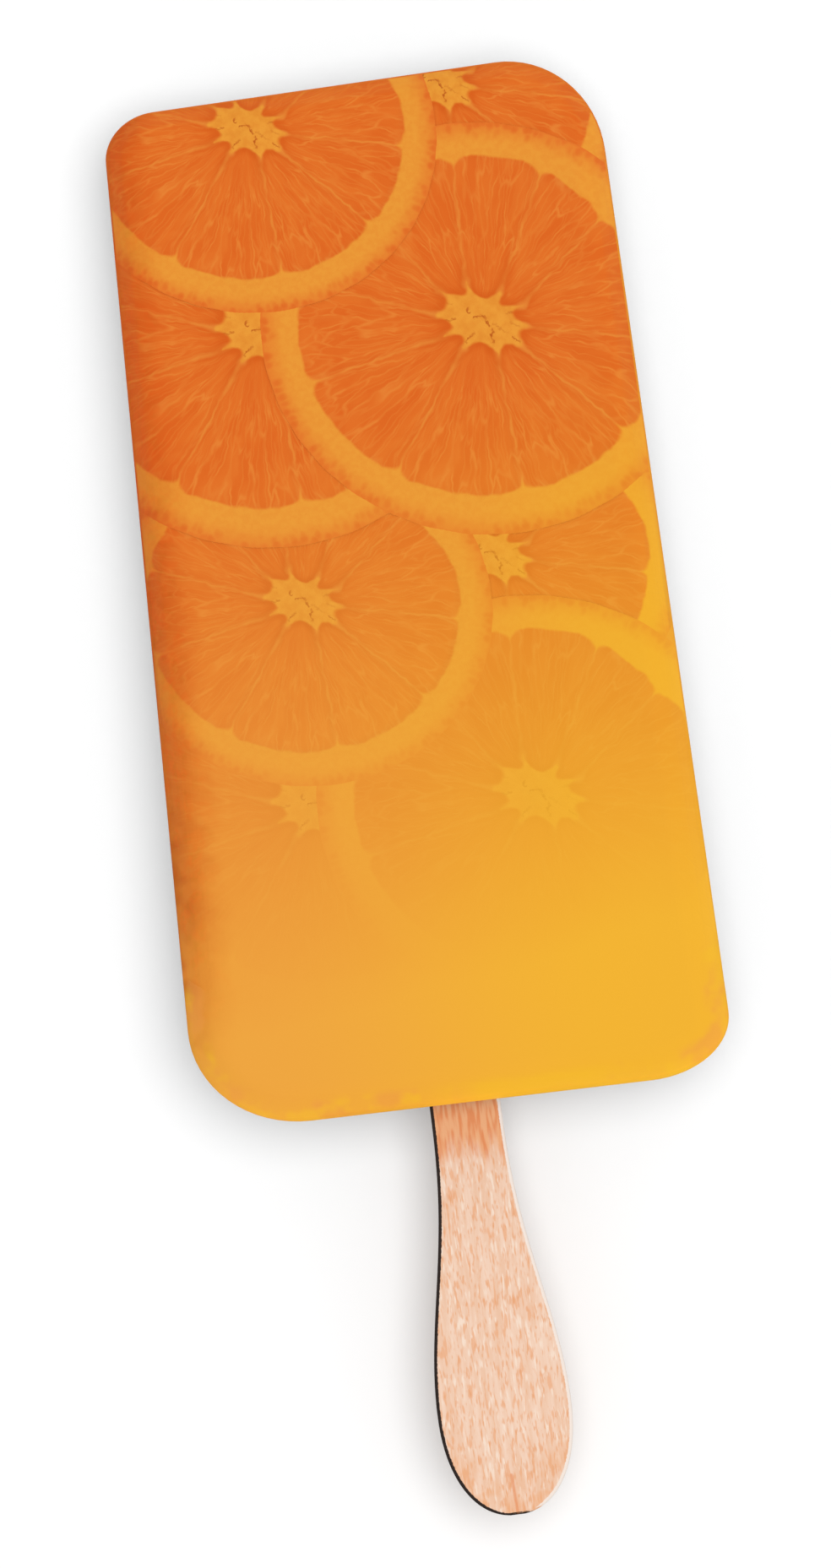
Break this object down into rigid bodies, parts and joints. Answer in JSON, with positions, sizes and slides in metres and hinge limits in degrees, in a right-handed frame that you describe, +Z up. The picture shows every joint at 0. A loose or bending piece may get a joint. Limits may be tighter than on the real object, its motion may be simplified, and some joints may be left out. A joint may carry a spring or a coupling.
{
  "type": "ice lolly",
  "caption": "Flat, tapered fruit ice lolly with orange slices frozen into its face, fading from orange to yellow, on a paddle-shaped wooden stick.",
  "frame": {"origin": "on the flat back that it lies on, under the middle of the ice block", "axes": "+Z up out of the face with the slices, +Y along the lolly towards its tip, -Y along the stick, X across"},
  "size_m": [0.0631, 0.1697, 0.0243],
  "materials": {
    "fruit_ice": "frozen juice, satin with light frost",
    "orange_slice": "frozen cut orange, satin",
    "stick_wood": "bare pale birch, matt"
  },
  "bodies": {
    "root": {"ice_block": "fruit_ice", "orange_slice_a": "orange_slice", "orange_slice_b": "orange_slice", "orange_slice_c": "orange_slice", "orange_slice_d": "orange_slice", "orange_slice_e": "orange_slice", "orange_slice_f": "orange_slice", "orange_slice_g": "orange_slice", "orange_slice_h": "orange_slice", "stick": "stick_wood"}
  },
  "joints": []
}
